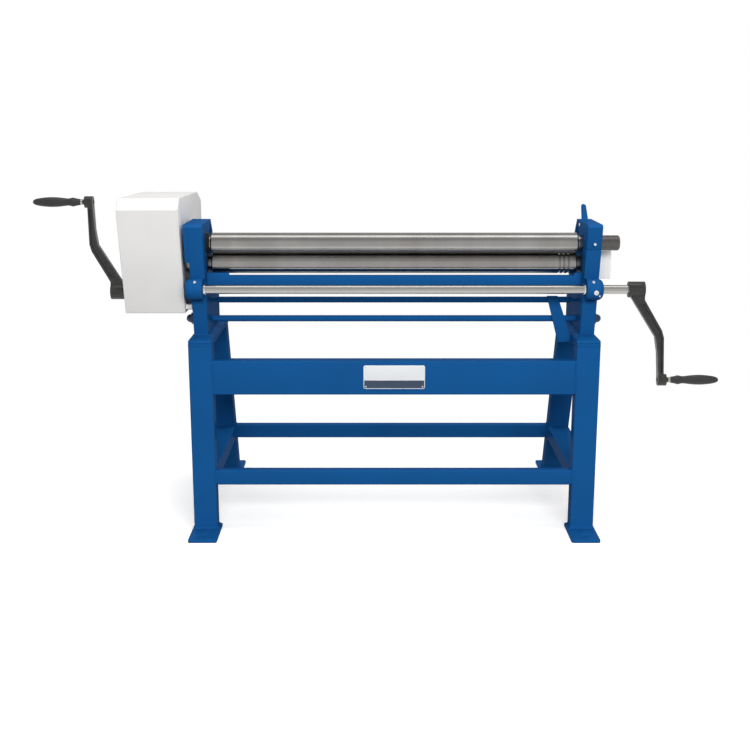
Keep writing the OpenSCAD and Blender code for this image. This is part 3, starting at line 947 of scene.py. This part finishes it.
@dataclass
class CrossBars:
    """Bars and tie rod between the housings, with the nuts and the diagonal strut."""

    neck: float = 20 * MM
    neck_radius: float = 5.5 * MM
    neck_taper: float = 4 * MM
    bar_edge: float = 1.5 * MM
    strut_edge: float = 1 * MM

    def build(self) -> None:
        """Build the bars."""
        eased("bar_upper", "flat", self.bar_edge)
        self.lower_bar()
        Form.rod("tie_rod").painted("tie_rod_bar", "tie_rod")
        self.nuts()
        eased("diagonal_strut", "flat", self.strut_edge, 2)

    def lower_bar(self) -> None:
        """Round bar, turned down towards its ends."""
        low, high = spans("bar_lower")
        length, thin = high.x - low.x, self.neck_radius
        profile = [(0, 0), (0, thin), (self.neck - self.neck_taper, thin)]
        profile += [(self.neck, radius_of("bar_lower"))]
        profile += [(length - along, r) for along, r in reversed(profile)]
        Form.about("bar_lower", profile, low.x, 40).painted("bar_lower_round", "bar_lower")

    def nuts(self) -> None:
        """Washer and cap nut at both ends of the tie rod."""
        wall = spans("housing_right")[1].x
        washer = mm((0, 8), (0, 18), (1, 19), (4, 19), (4, 8))
        dome = [*mm((0, 12.4), (2, 12.4)), *arc((2 * MM, 0), 12 * MM, 84, 0, 8)]
        parts = ((washer, 0.0, 40), (hexagon(30 * MM, 16 * MM), 4 * MM, 6), (dome, 20 * MM, 40))
        pieces = [Form.about("tie_nuts", profile, wall + out, steps).on(side)
                  for side in Side for profile, out, steps in parts]
        Form.joined(pieces).finish("tie_rod_nuts", "stand", Look.HARDWARE, ["tie_nuts"])


@dataclass
class Adjuster:
    """Worm boxes, their shaft and the sheet cover at the right."""

    round_end: float = 18 * MM
    bore: float = 13.2 * MM
    fold_round: float = 2.2 * MM

    def build(self) -> None:
        """Build the adjuster's pieces."""
        self.box_left()
        self.box_right()
        self.shaft()
        self.cover()

    def nipple(self, node: str, right: float) -> Form:
        """Grease nipple on the upper front of a worm box, some way right of its middle."""
        centre = middle(node)
        return GreaseNipple((centre.x + right, centre.y - 18 * MM, centre.z + 24 * MM)).form()

    def box_left(self) -> None:
        """Plain turned box with a chamfered outer end."""
        low, high = spans("worm_box_left")
        radius, length = radius_of("worm_box_left"), high.x - low.x
        profile = [(0, self.bore), (0, radius - 7 * MM), (7 * MM, radius - 1 * MM), (9 * MM, radius),
                   (length - 2 * MM, radius), (length, radius - 2 * MM), (length, self.bore), (0, self.bore)]
        Form.about("worm_box_left", profile, low.x).painted("worm_box_left_turned", "worm_box_left")
        self.nipple("worm_box_left", 4 * MM).finish("worm_box_left_nipple", "stand", Look.ZINC)

    def box_right(self) -> None:
        """Box with a domed outer end, a lock screw, a pin and a grease nipple."""
        low, high = spans("worm_box_right")
        centre = middle("worm_box_right")
        radius, length = radius_of("worm_box_right"), high.x - low.x
        dome = arc((length - self.round_end, radius - self.round_end), self.round_end, 90, 12, 9)
        profile = [(0, self.bore), (0, radius - 2 * MM), (2 * MM, radius), *dome, (length, self.bore),
                   (0, self.bore)]
        Form.about("worm_box_right", profile, low.x).painted("worm_box_right_turned", "worm_box_right")
        screw = SocketScrew((centre.x, centre.y - 28 * MM, centre.z - 5 * MM), 9 * MM).form()
        pin = Form.turned(mm((0, 0), (0, 2.4), (3, 2.4), (4, 1.2), (4, 0)),
                          (centre.x + 11 * MM, centre.y - 25 * MM, centre.z - 15 * MM), Axis.FRONT, 16)
        details = [screw, self.nipple("worm_box_right", -7 * MM), pin]
        Form.joined(details).finish("worm_box_right_screws", "stand", Look.ZINC)

    def shaft(self) -> None:
        """Bright shaft with a collar beside each worm box."""
        node, body = "adjusting_shaft", "adjusting_crank"
        Form.rod(node, 1 * MM, 64).finish(f"{node}_bar", body, Look.SHAFT, [node])
        radius = radius_of(node)
        inner, outer, top = radius - 0.2 * MM, radius + 1.4 * MM, radius + 2 * MM
        ring = [(0, inner), (0, outer), (0.5 * MM, top), (4.5 * MM, top), (5 * MM, outer), (5 * MM, inner)]
        places = (spans("worm_box_left")[1].x + 1 * MM, spans("worm_box_right")[0].x - 6 * MM)
        collars = [Form.about(node, ring, x, 48) for x in places]
        Form.joined(collars).finish(f"{node}_collars", body, Look.ZINC)

    def cover(self) -> None:
        """Bent sheet cover with round folds."""
        rim = spans("adjuster_cover")[0].x + 5 * MM

        def is_fold(edge: Edge) -> bool:
            """Test for an outer fold, not on the open rim."""
            return edge.is_convex and max(v.co.x for v in edge.verts) > rim

        # The cover's brighter white is partly painted light, making up for the light that it gets less of.
        Form.of_node("adjuster_cover").ease(self.fold_round, 4, 60, is_fold).finish(
            "adjuster_cover_sheet", "stand", Look.BRIGHTENED_WHITE, ["adjuster_cover"])


@dataclass
class GearCover:
    """The large sheet cover over the gears and the back plate that it closes on."""

    fold_round: float = 3 * MM
    least_fold: float = 20 * MM
    plate_edge: float = 0.8 * MM

    def build(self) -> None:
        """Build the cover's pieces."""
        rim = spans("gear_cover")[1].x - NEAR

        def is_fold(edge: Edge) -> bool:
            """Test for an outer fold, not on the open rim."""
            inside = min(v.co.x for v in edge.verts) < rim
            return edge.is_convex and inside and edge.calc_length() > self.least_fold

        Form.of_node("gear_cover").ease(self.fold_round, 4, 15, is_fold).finish(
            "gear_cover_sheet", "stand", Look.WHITE, ["gear_cover"])
        Form.of_node("gear_cover_back").ease(self.plate_edge, 2, 40).finish(
            "gear_cover_back_plate", "stand", Look.WHITE, ["gear_cover_back"])


@dataclass
class Rolls:
    """The two geared feed rolls and the bending roll."""

    half: float = 0.53
    journal: float = 22 * MM
    thin_journal: float = 15 * MM
    chamfer: float = 2.5 * MM
    fillet: float = 2 * MM
    stub_chamfer: float = 3.5 * MM
    stub_start: float = 4 * MM
    grooves: tuple[float, ...] = (0.480, 0.493, 0.506)
    groove_depth: float = 2.6 * MM
    block_edge: float = 1.5 * MM

    def build(self) -> None:
        """Build the rolls."""
        self.top_roll()
        self.lower_roll()
        self.bending_roll()

    def barrel(self, node: str, neck: float, marks: Profile = ()) -> Profile:
        """Profile of a roll's ground body between two necks, with marks before its right chamfer."""
        half, radius = self.half, radius_of(node)
        return [(-half - self.fillet, neck), (-half, neck + self.fillet), (-half, radius - self.chamfer),
                (-half + self.chamfer, radius), *marks, (half - self.chamfer, radius),
                (half, radius - self.chamfer), (half, neck + self.fillet), (half + self.fillet, neck)]

    def ground(self, node: str, profile: Profile) -> None:
        """Turn a roll and finish it on its own body."""
        Form.about(node, profile, 0.0, 96).finish(f"{node}_ground", node, Look.ROLL, [node])

    def top_roll(self) -> None:
        """Upper feed roll: its right journal runs on as a dark stub."""
        low, high = spans("top_roll")
        neck, chamfer = self.journal, self.stub_chamfer
        start = spans("housing_right")[1].x - self.stub_start
        self.ground("top_roll", [(low.x, 0), (low.x, neck), *self.barrel("top_roll", neck), (start, neck),
                                 (start, 0)])
        stub = [(start, 0), (start, neck), (high.x - chamfer, neck), (high.x, neck - chamfer),
                (high.x, 3 * MM), (high.x - 5 * MM, 0)]
        Form.about("top_roll", stub, 0.0, 72).finish("top_roll_stub", "top_roll", Look.STUB)

    def lower_roll(self) -> None:
        """Lower feed roll with three wire grooves near its right end."""
        low, high = spans("lower_roll")
        neck, radius = self.journal, radius_of("lower_roll")
        marks = sorted((place - x, r) for place in self.grooves
                       for x, r in arc((0, radius), self.groove_depth, 360, 180, 6))
        self.ground("lower_roll", [(low.x, 0), (low.x, neck), *self.barrel("lower_roll", neck, marks),
                                   (high.x, neck), (high.x, 0)])

    def bending_roll(self) -> None:
        """Rear roll that bends the sheet, and the blocks that carry it."""
        low, high = spans("bending_roll")
        neck, ease = self.thin_journal, 1 * MM
        self.ground("bending_roll", [
            (low.x, 0), (low.x, neck - ease), (low.x + ease, neck), *self.barrel("bending_roll", neck),
            (high.x - ease, neck), (high.x, neck - ease), (high.x, 0)])
        for side in Side:
            eased(f"bearing_block_{side.word}", "milled", self.block_edge, body="bending_carriage",
                  look=Look.BLOCK)


@dataclass
class Crank:
    """A cast crank with its turning grip."""

    kind: str
    side: Side
    cast_round: float = 3.2 * MM
    ferrule: float = 13 * MM
    pin_radius: float = 5 * MM
    grip_bore: float = 5.1 * MM

    def build(self) -> None:
        """Build the arm, the pin with its ferrule, and the grip."""
        arm = f"{self.body}_arm"
        casting = Form.of_node(arm).ease(self.cast_round, 4, 20)
        casting.finish(f"{arm}_casting", self.body, Look.CRANK, [arm])
        self.pin()
        self.grip()

    @property
    def body(self) -> str:
        """Body that the arm and the pin ride on."""
        return f"{self.kind}_crank"

    def pin(self) -> None:
        """Pin with a dark neck and a steel ferrule."""
        node, thin, inner = f"{self.kind}_grip_pin", self.pin_radius, self.pin_radius - 0.1 * MM
        start, end = ends(node, self.side)
        near = ends(f"{self.kind}_grip", self.side)[0]
        boss = near - self.ferrule
        core = [(start, 0), (start, thin), (end - 1 * MM, thin), (end, thin - 1 * MM), (end, 0)]
        collar = [(boss - 1 * MM, 9 * MM), (boss + 3 * MM, 8 * MM), (boss + 5.5 * MM, 6.6 * MM),
                  (boss + 5.5 * MM, inner)]
        sleeve = [(near - 7.5 * MM, inner), (near - 7.5 * MM, 7 * MM), (near - 6.8 * MM, 7.8 * MM),
                  (near - 1.4 * MM, 8.6 * MM), (near - 0.6 * MM, 8.2 * MM), (near - 0.6 * MM, inner)]
        pin, neck, ferrule = (Form.about(node, profile, 0.0, steps).on(self.side)
                              for profile, steps in ((core, 32), (collar, 40), (sleeve, 48)))
        Form.joined([pin, ferrule]).finish(f"{self.kind}_pin_and_ferrule", self.body, Look.SHAFT, [node])
        neck.finish(f"{self.kind}_pin_neck", self.body, Look.CRANK)

    def grip(self) -> None:
        """Pear-shaped moulded grip: a bead, a waist and a long swelling."""
        node = f"{self.kind}_grip"
        start, end = ends(node, self.side)
        length, fat = end - start, radius_of(node)
        profile = [(0, self.grip_bore), *[(share * length, width * fat) for share, width in GRIP_SHAPE]]
        form = Form.about(node, profile, start, 32).on(self.side)
        piece = form.finish(f"{node}_moulding", node, Look.GRIP, [node], smooth=80)
        rounding = piece.modifiers.new("rounding", "SUBSURF")
        rounding.levels = rounding.render_levels = 1


@dataclass
class DriveShaft:
    """Bright shaft from the gear train to the drive crank."""

    ease: float = 1 * MM

    def build(self) -> None:
        """Build the shaft."""
        shaft = Form.rod("drive_shaft", self.ease)
        shaft.finish("drive_shaft_bar", "drive_crank", Look.SHAFT, ["drive_shaft"])


# ---------------------------------------------------------------- studio

@dataclass(frozen=True)
class Softbox:
    """A rectangular lamp aimed at a point; the camera doesn't see it, and steel may mirror it."""

    name: str
    at: Point
    aim: Point
    width: float
    height: float
    power: float
    mirrored: bool = False

    def hang(self) -> None:
        """Put the lamp in the scene."""
        data = bpy.data.lights.new(self.name, "AREA")
        data.shape = "RECTANGLE"
        data.size, data.size_y, data.energy = self.width, self.height, self.power
        lamp = put(self.name, data)
        lamp.location = self.at
        lamp.rotation_euler = (Vector(self.aim) - Vector(self.at)).to_track_quat("-Z", "Y").to_euler()
        lamp.visible_camera = False
        lamp.visible_glossy = self.mirrored


def softboxes() -> list[Softbox]:
    """Return the lamps: a wide one overhead that steel mirrors, and one behind the camera."""
    return [
        Softbox("overhead_softbox", (0.0, -0.5, 3.8), (0.0, -0.3, 0.0), 3.6, 1.3, 33.0, mirrored=True),
        Softbox("front_softbox", (0.4, -4.6, 2.3), (0.0, 0.0, 0.6), 3.4, 1.2, 172.0),
    ]


@dataclass
class Studio:
    """Camera, floor, backdrop light and lamps."""

    eye: Point = (-0.056, -3.6026, 1.236)
    look_down: float = 12.88
    lens: float = 55.85
    sensor: float = 36
    floor_half: float = 40.0
    lit_radius: float = 1.1
    white_radius: float = 2.0
    floor_grey: float = 0.16
    floor_lift: float = 0.3
    light: tuple[float, float] = (0.5, 0.6)
    light_heights: tuple[float, float] = (-0.1, 0.9)
    ceiling: float = 0.6
    ceiling_heights: tuple[float, float] = (0.3, 0.65)
    lamps: list[Softbox] = field(default_factory=softboxes)

    def camera(self) -> None:
        """Place the camera in front of the machine, a little left of its middle."""
        data = bpy.data.cameras.new("camera")
        data.sensor_width = self.sensor
        data.lens = self.lens
        camera = put("camera", data)
        camera.location = self.eye
        camera.rotation_euler = (math.radians(90 - self.look_down), 0, 0)
        bpy.context.scene.camera = camera

    def by_ray(self, tree: Tree, hidden: bpy.types.Node, seen: bpy.types.Node) -> Socket:
        """Show one shader to the rays that see the studio, straight or in metal and glass.

        Args:
            tree: Node tree of the floor or the world.
            hidden: Shader for the other rays.
            seen: Shader for those that see.

        Returns:
            The mixed shader.
        """
        ray = add(tree, "LightPath").outputs
        mirrored = add(tree, "Math", {0: ray["Is Glossy Ray"], 1: ray["Is Transmission Ray"]},
                       operation="MAXIMUM")
        sees = add(tree, "Math", {0: ray["Is Camera Ray"], 1: mirrored},
                   operation="MAXIMUM")
        return add(tree, "MixShader", {0: sees, 1: hidden,
                                                 2: seen}).outputs[0]

    def floor(self) -> None:
        """Wide pale floor that looks white further out and keeps the machine's shadow."""
        form = Form()
        bmesh.ops.create_grid(form.bm, x_segments=1, y_segments=1, size=self.floor_half)
        mesh = bpy.data.meshes.new("studio_floor")
        form.bm.to_mesh(mesh)
        form.bm.free()
        floor = put("studio_floor", mesh)
        paper = bpy.data.materials.new("studio_paper")
        tree = fresh_tree(paper)
        place = add(tree, "TexCoord").outputs["Object"]
        reach = add(tree, "VectorMath", {0: place}, operation="LENGTH").outputs["Value"]
        far = add(tree, "MapRange", {"Value": reach, "From Min": self.lit_radius,
                                               "From Max": self.white_radius})
        plain = add(tree, "BsdfDiffuse", {"Color": (*[self.floor_grey] * 3, 1)})
        pale = add(tree, "BsdfDiffuse", {"Color": PURE_WHITE})
        lift = add(tree, "Emission", {"Color": PURE_WHITE, "Strength": self.floor_lift})
        white = add(tree, "Emission", {"Color": PURE_WHITE, "Strength": 1.0})
        near = add(tree, "AddShader", {0: pale, 1: lift})
        seen = add(tree, "MixShader",
                   {0: far, 1: near, 2: white})
        add(tree, "OutputMaterial", {"Surface": self.by_ray(tree, plain, seen)})
        mesh.materials.append(paper)

    def backdrop(self, tree: Tree, height: Socket, heights: tuple[float, float],
                 strengths: tuple[float, float]) -> bpy.types.Node:
        """White background whose strength changes between two heights of the view direction."""
        strength = add(tree, "MapRange", {
            "Value": height, "From Min": heights[0], "From Max": heights[1],
            "To Min": strengths[0], "To Max": strengths[1]})
        return add(tree, "Background", {"Color": PURE_WHITE, "Strength": strength})

    def air(self) -> None:
        """White walls under a dimmer ceiling; the light that they give is softer than they look."""
        world = bpy.data.worlds.new("studio_air")
        bpy.context.scene.world = world
        tree = fresh_tree(world)
        place = add(tree, "TexCoord").outputs["Generated"]
        height = add(tree, "SeparateXYZ", {0: place}).outputs["Z"]
        light = self.backdrop(tree, height, self.light_heights, self.light)
        walls = self.backdrop(tree, height, self.ceiling_heights, (1.0, self.ceiling))
        add(tree, "OutputWorld", {"Surface": self.by_ray(tree, light, walls)})

    def build(self) -> None:
        """Set up the studio and the plain view transform."""
        self.camera()
        self.floor()
        self.air()
        for lamp in self.lamps:
            lamp.hang()
        bpy.context.scene.view_settings.view_transform = "Standard"


def main() -> None:
    """Build the machine, assembly by assembly."""
    logging.basicConfig(level=logging.INFO, format="%(name)s %(message)s")
    Studio().build()
    assemblies = [Stand(), NamePlate(), Head(), CrossBars(), Adjuster(), GearCover(), Rolls(),
                  DriveShaft(), Crank("drive", Side.LEFT), Crank("adjusting", Side.RIGHT)]
    for assembly in assemblies:
        log.info("building %s", type(assembly).__name__)
        assembly.build()


if __name__ == "__main__":
    main()
